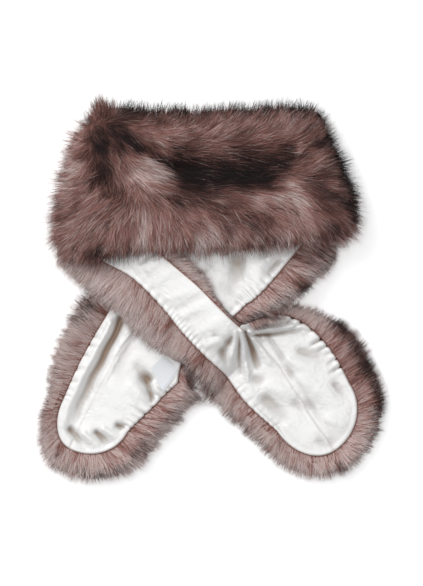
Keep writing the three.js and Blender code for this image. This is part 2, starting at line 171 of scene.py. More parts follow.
# Darker and paler patches of the pile between two points: x0, y0, x1, y1, width, darkness added. Besides the
# fur's own tone they hold painted shade in the collar's dips and its middle valley, and painted highlights
# where they are paler.
COLLAR_TONE_AND_LIGHT_PATCHES = [
    (-22.6, 123.9, 61.4, 129.2, 20, 0.42), (-37.3, 139.7, -28.9, 108.2, 14, 0.3),
    (-4.7, 110.2, 47.8, 113.4, 11, 0.16), (5.8, 115.5, 63.5, 119.7, 11, 0.22),
    (-102.4, 170.1, -46.7, 132.3, 7.5, 0.56), (-117.1, 172.2, -111.8, 137.6, 10, 0.2),
    (-112.9, 178.5, -106.6, 172.2, 13, 0.22), (-117.1, 152.2, -110.8, 118.7, 12, 0.36),
    (-100.3, 106.1, -85.6, 96.6, 9, 0.26), (-136, 156.5, -146.5, 99.8, 9, -0.12),
    (-123.4, 76.7, -73, 59.9, 13, -0.1), (-150.7, 78.8, -131.8, 85, 8, 0.14),
    (-68.8, 137.6, -52, 122.9, 9, -0.38), (-79.3, 120.8, -62.5, 114.5, 7, -0.18),
    (-69.8, 80.9, -68.8, 64, 6, -0.16), (-14.2, 57.8, -6.8, 51.5, 6, -0.26),
    (61.4, 125, 80.3, 112.4, 8, -0.34), (42.5, 96.6, 67.7, 95.5, 6, -0.28),
    (82.4, 99.8, 91.9, 85, 7, -0.26), (-83.5, 180.6, 84.5, 185.8, 11, 0.27),
    (100.3, 108.2, 111.8, 99.8, 10, 0.16), (19.4, 76.7, 55.1, 70.4, 6, 0.18),
    (32, 146, 76.1, 143.8, 10, 0.12), (13.1, 146, 19.4, 137.6, 6, -0.1),
    (105.5, 163.8, 128.6, 90.3, 16, 0.1), (-62.5, 95.5, 32, 90.3, 9, 0.1), (-94, 192.2, 95, 194.2, 8, 0.2),
]
# The same where the pile's tips reach: the collar's rim, and the borders.
COLLAR_RIM_PATCHES = [
    (115, 192.2, 130.7, 158.6, 8, 0.46), (130.7, 158.6, 146.5, 118.7, 8, 0.5),
    (146.5, 118.7, 154.9, 76.7, 8, 0.48), (122.3, 53.6, 139.1, 57.8, 9, 0.28),
    (-102.4, 200.6, -83.5, 198.5, 5, 0.12), (-83.5, 198.5, 95, 200.6, 7, 0.36),
    (95, 200.6, 115, 192.2, 8, 0.4), (-161.2, 99.8, -157, 53.6, 6, 0.08),
    (-125.5, 37.8, -96.1, 30.5, 7, 0.26), (-144.4, 158.6, -125.5, 188, 6, 0.06),
]
BORDER_PATCHES = [
    (100.3, 3.4, 139.1, -32.5, 7, 0.5), (139.1, -32.5, 166.4, -74.5, 7, 0.56),
    (166.4, -74.5, 183.2, -116.6, 7.5, 0.56), (183.2, -116.6, 176.9, -167, 7.5, 0.5),
    (176.9, -167, 147.5, -192.2, 7, 0.3), (84.5, 24.2, 122.3, 36.8, 19, 0.38),
    (55.1, -15.8, 90.8, -1.1, 9, 0.2), (-3.7, -3.2, 28.9, -33.6, 5, 0.4), (-26.8, 28.4, 2.6, 7.4, 9, -0.2),
    (130.7, -175.3, 139.1, -188, 5, 0.45), (-33.1, -125, -73, -160.7, 9, 0.32),
    (-106.6, -192.2, -64.6, -169.1, 7, 0.24), (-131.8, -7.4, -119.2, -17.9, 8, 0.34),
    (-144.4, -28.4, -131.8, -17.9, 6, 0.22), (-18.4, -89.2, -3.7, -112.4, 9, 0.16),
    (-26.8, -80.9, -19.4, -106.1, 9, 0.3), (-178, -93.5, -180.1, -127.1, 7, 0.22),
    (-10, -62, 4.7, -93.5, 9, 0.1), (55.1, -28.4, 78.2, -22.1, 10, 0.16), (32, -28.4, 59.3, -37.8, 8, 0.36),
    (-110.8, 30.5, -102.4, 19.9, 8, 0.14), (-157, -172.2, -115, -198.5, 7, 0.22),
    (21.5, -135.5, 55.1, -169.1, 7, 0.16),
]

# Where the borders' hair is cut back to clear the label, in the same form: the width, then the share cut off.
BORDER_TRIMS = [(-49.9, -73.5, -33.1, -80.9, 5.5, 0.6)]

# Ridges and troughs of the satin between two points: x0, y0, x1, y1, width, height.
LEFT_CREASES = [
    (32, -39.9, 41.5, -89.2, 2.7, 5), (28.9, -42, 33.1, -85, 2.4, -3.4), (27.8, -42, 22.6, -78.8, 3, 3),
    (36.2, -42, 50.9, -76.7, 2.6, -4.2), (40.4, -42, 63.5, -72.5, 3, 3.4),
    (42.5, -41.5, 101.3, -36.2, 1.9, 4), (44.6, -46.2, 95, -43.1, 1.9, -3.6),
    (44.6, -37.3, 90.8, -32.6, 1.9, -2.2), (55.1, -47.2, 122.3, -156.5, 2.6, 0.8),
    (61.4, -46.2, 127.6, -156.5, 3, -0.9), (21.5, -47.2, 13.1, -64, 3.2, -2.2),
    (61.4, -114.5, 84.5, -139.7, 11, -3.2), (95, -93.5, 139.1, -116.6, 9, 1.8),
    (84.5, -74.5, 118.1, -85, 7, 1.8), (95, -64, 126.5, -70.4, 6, -1.6), (63.5, -99.8, 95, -110.2, 8, 1.6),
    (23.6, -68.2, 42.5, -106.1, 6, 1.8), (13.1, -62, 32, -91.4, 5, -1.8),
    (44.6, -89.2, 61.4, -97.7, 5, -1.6), (90.8, -118.7, 113.9, -129.2, 7, -1.6),
    (132.8, -97.7, 143.3, -110.2, 5, -1.6), (-62.5, 22.1, -33.1, 43.1, 3.2, 1.2),
    (-70.9, 28.4, -45.7, 45.1, 3, -1.2), (-54.1, 7.4, -20.5, 30.5, 5, 0.7),
    (-43.6, -9.5, -7.9, 3.2, 4.5, 0.7), (-28.9, -28.4, 4.7, -9.5, 4.5, 0.8),
    (-14.2, -45.1, 17.3, -26.2, 4.5, 0.9), (-35.2, -19.9, -1.6, -3.2, 4, -0.6),
    (-24.7, -32.6, -10, -22.1, 4, -0.7), (-3.7, -57.8, 23.6, -41, 5, 1.4),
    (4.7, -47.2, 27.8, -53.6, 4, -1.4), (126.5, -135.5, 147.5, -139.7, 7, 1.4),
    (113.9, -158.6, 126.5, -162.8, 6, -1.4), (80.3, -143.8, 95, -156.5, 6, 1.2),
]
RIGHT_CREASES = [
    (-104.5, -32.6, -154.9, -139.7, 4.2, 3.2), (-93, -28.4, -143.4, -139.7, 6, -7),
    (-83.5, -32.6, -125.5, -122.9, 6.5, 2.2), (-74, -36.8, -129.7, -139.7, 2.4, -0.9),
    (-80.3, -36.8, -134.9, -137.6, 2.4, 0.7), (-57.2, -118.7, -64.6, -91.4, 3.6, -4.2),
    (-62.5, -93.5, -75.1, -87.2, 6, -2.2), (-58.3, -97.7, -48.8, -112.4, 4, 2.4),
    (-77.2, -97.7, -66.7, -118.7, 8, 1.8), (-73, -78.8, -62.5, -93.5, 7, -1.6),
    (-96.1, -139.7, -81.4, -146, 4, -3.6), (-89.8, -146, -75.1, -137.6, 4, 2.4),
    (-119.2, -148.1, -106.6, -156.5, 4, -3.6), (-131.8, -150.2, -123.4, -158.6, 4, 2.2),
    (-146.5, -146, -131.8, -160.7, 4, -3.6), (-110.8, -143.8, -98.2, -154.3, 4, 2),
    (-104.5, -93.5, -83.5, -125, 12, 1.2), (29.9, 30.5, 23.6, -9.5, 13, -4.8),
    (55.1, 30.5, 42.5, -1.1, 8, 1.8), (63.5, 34.6, 76.1, 43.1, 5, 1.6), (8.9, 7.4, 15.2, -13.7, 6, 1.2),
    (0.5, 24.2, 8.9, 1.1, 5, -1.2), (74, 30.5, 61.4, 15.8, 4, -1.6),
]

# Gathers at the lining's edge: half (1 outer, -1 inner), from and to in table rows, waves, height.
LEFT_GATHERS = [(-1, 5.8, 7.7, 9, 1.8), (1, 1.2, 5.6, 24, 0.6), (1, 6.4, 8.0, 9, 0.5)]
RIGHT_GATHERS = [(1, 0.7, 2.9, 13, 0.9), (1, 5.2, 7.0, 9, 1.0), (-1, 5.0, 7.0, 8, 0.5)]

# The places, counted in rows, between which the lining's middle seam comes to show.
SEAM_SHOWS = (3.2, 4.4)

# The label's corners: its free edge's far end, its sewn edge's far and near ends, its free edge's near end.
LABEL_CORNERS = [(-47.9, -68.1), (-32.1, -82.8), (-48.9, -105.9), (-60.5, -80.7)]

# The hidden half: the ends of its middle line, its half width, and its section as share of that and height.
UNDER_HALF = SimpleNamespace(
    start=(-25.7, 69.3), end=(37.3, 6.3), half_width=30.5,
    section=[(0, 0.5), (0.85, 0.3), (0.97, 1.5), (1.0, 4.0), (0.97, 6.6), (0.85, 8.2), (0, 8.2)])


def smooth(value, low, high):
    """0 below low, 1 above high, and the S-curve 3t^2 - 2t^3 between."""
    t = np.clip((np.asarray(value, float) - low) / (high - low), 0, 1)
    return t * t * (3 - 2 * t)


def mix(a, b, share):
    """a where share is 0, b where it is 1, and in proportion between."""
    return a + (b - a) * share


def unit(vectors):
    """Vectors divided by their lengths."""
    return vectors / np.maximum(np.linalg.norm(vectors, axis=-1, keepdims=True), 1e-9)


def raised(xy, z):
    """Points from their places on the table and their heights."""
    return np.concatenate([xy, z[..., None]], axis=-1)


def through_rows(rows, u, closed=False):
    """A Catmull-Rom curve through the rows of a table, every column at once, at places u counted in rows."""
    rows = np.asarray(rows, float)
    u = np.asarray(u, float)
    last = len(rows) if closed else len(rows) - 1
    i = np.minimum(np.floor(u).astype(int), last - 1)
    t = (u - i)[..., None]
    near = i[..., None] + np.arange(-1, 3)
    near = near % len(rows) if closed else np.clip(near, 0, len(rows) - 1)
    p, a, b, q = (rows[near[..., k]] for k in range(4))
    return a + 0.5 * t * (b - p + t * (2 * p - 5 * a + 4 * b - q + t * (3 * (a - b) + q - p)))


def along_and_away(xy, segment):
    """How far along a segment each point lies, from 0 to 1, and how far away from it."""
    ends = np.reshape(segment, (2, 2)).astype(float)
    run = ends[1] - ends[0]
    along = np.clip((xy - ends[0]) @ run / (run @ run), 0, 1)
    return along, np.linalg.norm(xy - ends[0] - along[..., None] * run, axis=-1)


def folds_at(folds, xy):
    """The sum of all folds at points: each is height * exp(-(distance to its segment / width)^2)."""
    total = np.zeros(xy.shape[:-1])
    for *segment, width, height in folds:
        _, away = along_and_away(xy, segment)
        total += height * np.exp(-((away / width) ** 2))
    return total


def creases_at(creases, xy):
    """The sum of all creases: like folds, but they waver, widen and flatten from their start to their end."""
    x, y = xy[..., 0], xy[..., 1]
    waver = np.stack([np.sin(y / 5.5 + x / 17), np.sin(x / 6.5 - y / 13)], axis=-1)
    bent = xy + 0.4 * waver + 1.2 * np.sin(xy[..., ::-1] / 21)
    total = np.zeros(xy.shape[:-1])
    for *segment, width, height in creases:
        along, away = along_and_away(bent, segment)
        widened = width * (0.85 + 0.7 * along)
        total += height * (1 - 0.6 * along ** 2) * np.exp(-((away / widened) ** 2))
    return total


def spokes_of(stretch, along, cap):
    """Spokes round a stretch: outer side, round end, inner side, hidden start.

    At a place u on the middle seam the spoke at angle a reaches half width * cos(a) across the stretch and
    end reach * sin(a) along it, once for the lining's seam and once for the fur's tips.
    """
    step, start_lining = 0.02, 0.6
    last = len(stretch.rows) - 1
    side = np.linspace(0, last, along)
    arc = np.linspace(0, np.pi, cap + 2)[1:-1]
    u = np.concatenate([side, np.full(cap, last), side[::-1], np.zeros(cap)])
    turn = np.concatenate([np.zeros(along), arc, np.full(along, np.pi), arc + np.pi])
    at_start = np.arange(len(u)) >= 2 * along + cap
    row = through_rows(stretch.rows, u)
    ahead = through_rows(stretch.rows, np.minimum(u + step, last))
    behind = through_rows(stretch.rows, np.maximum(u - step, 0))
    heading = unit((ahead - behind)[:, :2])
    outward = stretch.outer_side * np.stack([heading[:, 1], -heading[:, 0]], axis=1)
    middle = row[:, :2]
    lining_out, fur_out, lining_in, fur_in, lift_out, lift_in, rim_out, rim_in = np.maximum(row[:, 2:], 0).T
    across = np.cos(turn)
    outer = across >= -1e-9
    lining = np.where(outer, lining_out, lining_in)
    fur = np.where(outer, fur_out, fur_in)
    reach_lining = np.where(at_start, stretch.start_reach * start_lining, stretch.end_lining) * np.sin(turn)
    reach_fur = np.where(at_start, stretch.start_reach, stretch.end_fur) * np.sin(turn)

    def lift(distance):
        return mix(lift_in, lift_out, np.clip((distance + fur_in) / (fur_in + fur_out), 0, 1))

    return SimpleNamespace(
        u=u, turn=turn, heading=heading, middle=middle, outer=outer, lining=lining,
        seam=middle + outward * (across * lining)[:, None] + heading * reach_lining[:, None],
        tip=middle + outward * (across * fur)[:, None] + heading * reach_fur[:, None],
        middle_lift=lift(0), seam_lift=lift(across * lining), tip_lift=lift(across * fur),
        rim=mix(rim_in, rim_out, 0.5 + 0.5 * across))


def in_frame(points):
    """Table millimetres to the frame's metres."""
    moved = np.array(points, float)
    moved[..., :2] -= MIDDLE
    return moved * MM


def border_hide(stretch, along=150, cap=37, steps=17):
    """The hide of a stretch's border: BORDER_HIDE as a smooth curve, carried round the spokes."""
    s = spokes_of(stretch, along, cap)
    out, pile, rim = through_rows(BORDER_HIDE, np.linspace(0, len(BORDER_HIDE) - 1, steps)).T
    xy = s.seam[:, None] + (s.tip - s.seam)[:, None] * out[None, :, None]
    lift = mix(s.seam_lift[:, None], s.tip_lift[:, None], out)
    return s, raised(xy, lift + pile * PILE_UNDER_LINING + rim * s.rim[:, None])


def stretch_hide(stretch):
    """The whole hide of a stretch: the underside from the middle line outwards, and the border's hide."""
    s, border = border_hide(stretch)
    middle = raised(s.middle, s.middle_lift + TABLE_CLEARANCE)
    return np.concatenate([middle[:, None], border], axis=1)


def collar_spokes(count):
    """Edge points round the collar, the hide's edge inside them, and the ridge point that each is drawn in to.

    An edge point and its opposite across the ridge share the mean of their x as their ridge point.
    """
    rows = len(COLLAR_OUTLINE)
    outline = through_rows(COLLAR_OUTLINE, np.arange(count) * rows / count, closed=True)
    opposite = outline[(2 * COLLAR_LEFT_ROW * count // rows - np.arange(count)) % count]
    ridge_x = np.clip((outline[:, 0] + opposite[:, 0]) / 2, -COLLAR_RIDGE.half, COLLAR_RIDGE.half)
    ridge = np.stack([ridge_x, np.full(count, COLLAR_RIDGE.y)], axis=1)
    edge = outline[:, :2]
    reach = np.linalg.norm(ridge - edge, axis=1, keepdims=True)
    return SimpleNamespace(
        edge=edge, ridge=ridge, start=edge + (ridge - edge) * np.minimum(COLLAR_INSET / reach, 0.5),
        foot=np.maximum(outline[:, 2], 0) + COLLAR_FOOT)


def collar_hide(count=312, steps=34):
    """The collar's hide: COLLAR_SECTION as a smooth curve on each spoke, COLLAR_DEPTH below the crown."""
    s = collar_spokes(count)
    share, rise = through_rows(COLLAR_SECTION, np.linspace(0, len(COLLAR_SECTION) - 1, steps)).T
    share = np.clip(share, 0, 1)
    xy = s.start[:, None] + (s.ridge - s.start)[:, None] * share[None, :, None]
    z = s.foot[:, None] + (COLLAR_CROWN - COLLAR_DEPTH - s.foot[:, None]) * rise
    z += folds_at(COLLAR_FOLDS, xy) * smooth(rise, 0.5, 1)
    return s, raised(xy, z)


def collar_under_layers(count=156):
    """The folded-under layers: spokes from the ridge to the edge, low where they lie on the table."""
    s = collar_spokes(count)
    xy = s.start[:, None] + (s.ridge - s.start)[:, None] * COLLAR_UNDER_SECTION[None, :, None]
    hidden = 1 - smooth(xy[..., 1], *COLLAR_RAMP)
    z = 2 * TABLE_CLEARANCE + COLLAR_UNDERSIDE * hidden
    z[:, -1] = s.foot
    return raised(xy, z)


def tucks_of(gathers, side, s, share):
    """Depth of the gathers: uneven tucks along the edge, narrow as the cube of a wave, that fade inwards."""
    depth = np.zeros(np.broadcast_shapes(s.u[:, None].shape, np.shape(share)))
    for half, first, last, waves, height in gathers:
        if half == side:
            place = (s.u[:, None] - first) / (last - first)
            fade = smooth(place, 0, 0.12) * (1 - smooth(place, 0.88, 1)) * smooth(share, 0.70, 0.95)
            phase = 2 * np.pi * (waves * place + 0.35 * np.sin(9.0 * place + first)) + 2.5 * (1 - share)
            uneven = 0.7 + 0.3 * np.sin(17.0 * place + 2 * first)
            depth += height * fade * uneven * (2.2 * (0.5 + 0.5 * np.sin(phase)) ** 3 - 0.6)
    return depth


def lining_half(stretch, creases, gathers, side, fold_height, along=230, cap=49, columns=44):
    """One half of a stretch's satin on a grid: spokes from start to end by shares from middle seam to edge.

    The sheet lies on the pressed pile, follows its creases, swells a little between seams and dips at its edge,
    which is drawn in where it is tucked. A groove runs along the middle seam beyond the slit.
    """
    s = spokes_of(stretch, along, cap)
    quarter, near, narrowest = np.pi / 2, 1e-6, 2.0
    keep = (s.turn < quarter + near) if side > 0 else (s.turn > quarter - near) & (s.turn < np.pi + near)
    order = np.flatnonzero(keep & (s.lining > narrowest))[::side]
    s = SimpleNamespace(**{key: value[order] for key, value in vars(s).items()})
    share = 1 - (1 - np.linspace(0, 1, columns)) ** 1.25
    scallop = np.clip(tucks_of(gathers, side, s, 1.0), 0, None)
    inset = 1 - (0.6 + 0.8 * scallop) / np.maximum(s.lining, 3)[:, None]
    reach = inset * share
    xy = s.middle[:, None] + (s.seam - s.middle)[:, None] * reach[..., None]
    relief = creases_at(creases, xy) * (1 - smooth(share, 0.86, 1.0)) - tucks_of(gathers, side, s, share)
    relief *= fold_height
    lift = mix(s.middle_lift[:, None], s.seam_lift[:, None], reach)
    swell = 1.2 * np.sin(np.pi * share)
    dip = 1.2 * smooth(share, 0.975, 1.0) - 0.6 * smooth(share, 0.88, 0.96)
    from_seam = np.abs(np.cos(s.turn) * s.lining)[:, None] * share
    groove = 0.8 * (1 - smooth(from_seam, 0.0, 2.6)) * smooth(s.u, *SEAM_SHOWS)[:, None]
    z = lift + PILE_UNDER_LINING + LINING_CLEARANCE + relief + swell - dip - groove
    return s, raised(xy, z), relief, share, from_seam


def hollowness(relief):
    """How far each point lies below the mean of its neighbours, in millimetres."""
    reach = 10
    padded = np.pad(relief, reach, mode="edge")
    rows, columns = relief.shape
    steps = range(0, 2 * reach + 1, reach // 2)
    near = [padded[a:a + rows, b:b + columns] for a in steps for b in steps]
    return np.clip(np.mean(near, axis=0) - relief, 0, None)


def grid_faces(rows, columns, closed):
    """Corner numbers of the quads between neighbouring points of a grid, its rows closed to a ring or not."""
    i = np.arange(rows if closed else rows - 1)[:, None]
    k = np.arange(columns - 1)[None, :]
    here, following = i * columns, ((i + 1) % rows) * columns
    return np.stack([here + k, following + k, following + k + 1, here + k + 1], axis=-1).reshape(-1, 4)


def welded(points, quads):
    """Points merged where they coincide, and the quads cut to triangles with the empty ones left out."""
    _, first, place = np.unique(
        np.round(points / WELD_DISTANCE).astype(np.int64), axis=0, return_index=True, return_inverse=True)
    triangles = place.reshape(-1)[np.concatenate([quads[:, [0, 1, 2]], quads[:, [0, 2, 3]]])]
    a, b, c = triangles.T
    return points[first], triangles[(a != b) & (b != c) & (a != c)]


def mesh_from(name, points, faces, corner_uv=None):
    """A mesh object from arrays: points (n, 3) in metres, faces (m, 3 or 4), and a UV pair for each corner."""
    sides = faces.shape[1]
    mesh = bpy.data.meshes.new(name)
    mesh.vertices.add(len(points))
    mesh.vertices.foreach_set("co", np.ascontiguousarray(points, np.float32).ravel())
    mesh.loops.add(faces.size)
    mesh.loops.foreach_set("vertex_index", np.ascontiguousarray(faces, np.int32).ravel())
    mesh.polygons.add(len(faces))
    mesh.polygons.foreach_set("loop_start", np.arange(0, faces.size, sides, dtype=np.int32))
    mesh.polygons.foreach_set("use_smooth", np.ones(len(faces), bool))
    if corner_uv is not None:
        layer = mesh.uv_layers.new(name=PILE_MAP)
        layer.data.foreach_set("uv", np.ascontiguousarray(corner_uv, np.float32).ravel())
    mesh.update(calc_edges=True)
    piece = bpy.data.objects.new(name, mesh)
    bpy.context.scene.collection.objects.link(piece)
    return piece


def ring_piece(name, grid, outwards):
    """A piece from a grid whose rows close to a ring. Its faces are turned round where outwards is -1."""
    points, faces = welded(in_frame(grid.reshape(-1, 3)), grid_faces(*grid.shape[:2], closed=True))
    return mesh_from(name, points, faces[:, ::outwards])


def open_piece(name, grid, outwards):
    """An open piece from a grid, mapped from 0 to 1 along its rows and columns, turned as a ring piece is."""
    rows, columns = grid.shape[:2]
    faces = grid_faces(rows, columns, closed=False)[:, ::outwards]
    uv = np.stack(np.meshgrid(np.linspace(0, 1, rows), np.linspace(0, 1, columns), indexing="ij"), axis=-1)
    return mesh_from(name, in_frame(grid.reshape(-1, 3)), faces, uv.reshape(-1, 2)[faces.ravel()])


def add_value(piece, name, values):
    """A number for each point of a piece, which its material reads."""
    layer = piece.data.attributes.new(name, "FLOAT", "POINT")
    layer.data.foreach_set("value", np.ascontiguousarray(values, np.float32).ravel())


def thicken(piece, name, thickness):
    """Gives a sheet its thickness on the underside, with a crisp edge all round."""
    mesh = piece.data
    edge_of_corner = np.empty(len(mesh.loops), np.int32)
    mesh.loops.foreach_get("edge_index", edge_of_corner)
    is_rim = np.bincount(edge_of_corner, minlength=len(mesh.edges)) == 1
    mesh.attributes.new("sharp_edge", "BOOLEAN", "EDGE").data.foreach_set("value", is_rim)
    wall = piece.modifiers.new(name, "SOLIDIFY")
    wall.thickness = thickness
    wall.offset = -1.0


def dress(piece, material, slot, *nodes):
    """Gives a piece its material, lets it ride on the wrap and stand for the named CAD nodes; the slot is not
    used.
    """
    piece.data.materials.append(material)
    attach(piece, "root")
    if nodes:
        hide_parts(*nodes)
    return piece


def scatter(grid, count, rng, closed=True):
    """Even random places on a grid surface: position, normal and place on the grid of each.

    A cell is drawn in proportion to its area, and the point is bilinear between its corners.
    """
    ring = np.concatenate([grid, grid[:1]]) if closed else grid
    a, b, c, d = ring[:-1, :-1], ring[1:, :-1], ring[1:, 1:], ring[:-1, 1:]
    cross = np.cross(c - a, d - b)
    areas = np.linalg.norm(cross, axis=-1).ravel()
    cell = np.searchsorted(np.cumsum(areas), rng.random(count) * areas.sum())
    i, k = np.unravel_index(np.minimum(cell, areas.size - 1), cross.shape[:2])
    s, t = rng.random((2, count))
    place = mix(mix(a[i, k], b[i, k], s[:, None]), mix(d[i, k], c[i, k], s[:, None]), t[:, None])
    return SimpleNamespace(place=place, normal=unit(cross[i, k]), row=i + s, column=k + t)


def locks_of(places, size, rng):
    """Which lock of hair each root belongs to, and each lock's own random numbers, spread to its strands."""
    wavy = places + 0.35 * size * np.sin(places[:, [1, 2, 0]] * (1.7 / size))
    cells = np.floor(wavy / size).astype(np.int64)
    keys, lock = np.unique(cells, axis=0, return_inverse=True)
    lock = lock.reshape(-1)
    counts = np.bincount(lock)
    centre = np.stack([np.bincount(lock, places[:, k]) / counts for k in range(3)], axis=1)
    return centre[lock], rng.standard_normal((len(keys), 3))[lock]


def brushed_way(xy):
    """The collar's brushing at points: the table's directions weighted by 1 / distance^3, and their agreement.

    The agreement is the length of the mean direction: 1 where the brushing is even, less at a parting.
    """
    table = np.array(COLLAR_BRUSHING)
    away = np.linalg.norm(xy[:, None] - table[None, :, :2], axis=2) + 4.0
    weight = away ** -3.0
    mean = (weight[..., None] * unit(table[None, :, 2:])).sum(axis=1) / weight.sum(axis=1)[:, None]
    return unit(mean), np.linalg.norm(mean, axis=1)


def turned(ways, angle):
    """Level directions turned by an angle each."""
    c, s = np.cos(angle), np.sin(angle)
    return np.stack([ways[:, 0] * c - ways[:, 1] * s, ways[:, 0] * s + ways[:, 1] * c], axis=1)


def level(ways, height):
    """Level directions given a height, as unit vectors."""
    return unit(np.concatenate([ways, np.broadcast_to(height, len(ways))[:, None]], axis=1))


def pick_kinds(shares, tone, rim, soot, rng):
    """A kind of hair for each strand, from the shares of pale tips, dark tips and soot. The rest is plain.

    Dark tips are more at the rim and in dark patches, where pale tips are fewer.
    """
    pale, dark, sooty = shares
    dark_share = np.clip(dark + 0.45 * rim + 0.5 * np.clip(tone - 0.45, 0, 1), 0, 0.9)
    sooty_share = np.clip(sooty + 0.10 * rim + soot, 0, 0.85)
    pale_share = pale * (1 - np.clip(tone * 1.2 - 0.3, 0, 1))
    draw = rng.random(len(tone))
    kind = np.full(len(tone), float(PLAIN))
    kind[draw < sooty_share + dark_share + pale_share] = PALE_TIP
    kind[draw < sooty_share + dark_share] = DARK_TIP
    kind[draw < sooty_share] = SOOTY
    return kind


def stray_lengths(lock, rim, rng):
    """Length shares of strands: alike in a lock, uneven from hair to hair, with long strays most at the rim."""
    stray = rng.random(len(lock)) < 0.05 + 0.16 * rim
    uneven = 0.80 + (0.07 + 0.07 * rim) * lock + 0.32 * rng.random(len(lock))
    return uneven + np.where(stray, 0.25 + 0.42 * rim, 0.0)


def strand_widths(widest, count, rng):
    """Widths of strands at their roots, from three quarters to five quarters of the chosen one."""
    return widest * (0.75 + 0.5 * rng.random(count))


def strands(name, roots, normals, first_way, last_way, length, width, gather, centre, kind, tone):
    """A pile of flat strands, each a ribbon of two quads and a pointed tip.

    A strand starts along first_way and ends along last_way: root + length * (first_way * (t - t^2/2) +
    last_way * t^2/2), drawn in to its lock's centre by gather * t^2. Its map holds its kind and tone across
    and root to tip upwards.
    """
    t = STRAND_STEPS[None, :, None]
    path = roots[:, None] + length[:, None, None] * (
        first_way[:, None] * (t - t * t / 2) + last_way[:, None] * (t * t / 2))
    path += (centre - roots)[:, None] * gather * t * t
    path[..., 2] = np.maximum(path[..., 2], TABLE_CLEARANCE)
    across = unit(np.cross(unit(first_way + last_way), normals))
    half = 0.5 * width[:, None, None] * STRAND_TAPER[None, :, None] * across[:, None]
    points = np.concatenate([path[:, :3] - half, path[:, :3] + half, path[:, 3:]], axis=1)
    base = points.shape[1] * np.arange(len(roots))[:, None]
    quads = np.stack([base + [0, 3, 4, 1], base + [1, 4, 5, 2]], axis=1).reshape(-1, 4)
    tips = (base + [2, 5, 6]).reshape(-1, 3)
    triangles = np.concatenate([quads[:, [0, 1, 2]], quads[:, [0, 2, 3]], tips])
    across_map = ((kind + np.clip(tone, 0.03, 0.97)) / len(KINDS))[:, None]
    across_map = across_map + STRAND_MAP_HALF * np.array([-1, -1, -1, 1, 1, 1, 0])
    up_map = 0.02 + 0.96 * np.concatenate([STRAND_STEPS[:-1], STRAND_STEPS])
    uv = np.stack(np.broadcast_arrays(across_map, up_map[None, :]), axis=-1).reshape(-1, 2)
    return mesh_from(name, in_frame(points.reshape(-1, 3)), triangles, uv[triangles.ravel()])


class Value:
    """A shader value. Arithmetic on it adds Math nodes."""

    def __init__(self, finish, socket):
        self.finish = finish
        self.socket = socket

    def math(self, operation, a, b=0.0):
        return self.finish.node("ShaderNodeMath", {"operation": operation}, {0: a, 1: b})

    def __add__(self, other):
        return self.math("ADD", self, other)

    def __sub__(self, other):
        return self.math("SUBTRACT", self, other)

    def __rsub__(self, other):
        return self.math("SUBTRACT", other, self)

    def __mul__(self, other):
        return self.math("MULTIPLY", self, other)

    __radd__ = __add__
    __rmul__ = __mul__


class Finish:
    """A material with one Principled shader, a method that adds any node, and short forms of the usual ones."""

    def __init__(self, name, **constants):
        self.material = bpy.data.materials.new(name)
        self.material.use_nodes = True
        self.tree = self.material.node_tree
        self.shader = self.tree.nodes["Principled BSDF"]
        for socket, value in constants.items():
            self.shader.inputs[socket.replace("_", " ")].default_value = value

    def node(self, kind, settings=None, sockets=None, out=0):
        made = self.tree.nodes.new(kind)
        for key, value in (settings or {}).items():
            if key == "stops":
                self.fill_ramp(made.color_ramp, value)
            else:
                setattr(made, key, value)
        for key, value in (sockets or {}).items():
            if isinstance(value, Value):
                self.tree.links.new(value.socket, made.inputs[key])
            else:
                made.inputs[key].default_value = value
        return Value(self, made.outputs[out])

    @staticmethod
    def fill_ramp(ramp, stops):
        while len(ramp.elements) < len(stops):
            ramp.elements.new(0.5)
        for element, (place, colour) in zip(ramp.elements, stops):
            element.position = place
            element.color = (*colour, 1.0)

    def object_place(self):
        return self.node("ShaderNodeTexCoord", out=3)

    def map_place(self):
        """The piece's own map, and its two parts: across and up."""
        place = self.node("ShaderNodeUVMap", {"uv_map": PILE_MAP})
        return place, *(self.node("ShaderNodeSeparateXYZ", {}, {0: place}, out=axis) for axis in range(2))

    def attribute(self, name):
        return self.node("ShaderNodeAttribute", {"attribute_name": name}, out=2)

    def noise(self, place, scale, detail, **more):
        return self.node("ShaderNodeTexNoise", {}, {"Vector": place, "Scale": scale, "Detail": detail, **more})

    def smoothstep(self, value, low, high, top=1.0):
        """0 below low, top above high, and an S-curve between."""
        settings = {"interpolation_type": "SMOOTHSTEP"}
        return self.node("ShaderNodeMapRange", settings, {0: value, 1: low, 2: high, 4: top})

    def equals(self, value, wanted, within):
        return self.node("ShaderNodeMath", {"operation": "COMPARE"}, {0: value, 1: wanted, 2: within})

    def blend(self, factor, a, b):
        """Colour a where factor is 0, b where it is 1."""
        a, b = ((*c, 1.0) if isinstance(c, tuple) else c for c in (a, b))
        return self.node("ShaderNodeMix", {"data_type": "RGBA"}, {0: factor, 6: a, 7: b}, out=2)

    def feed(self, socket, value):
        self.tree.links.new(value.socket, self.shader.inputs[socket])

    def feed_bump(self, strength, distance, height):
        sockets = {"Strength": strength, "Distance": distance, "Height": height}
        self.feed("Normal", self.node("ShaderNodeBump", {}, sockets))


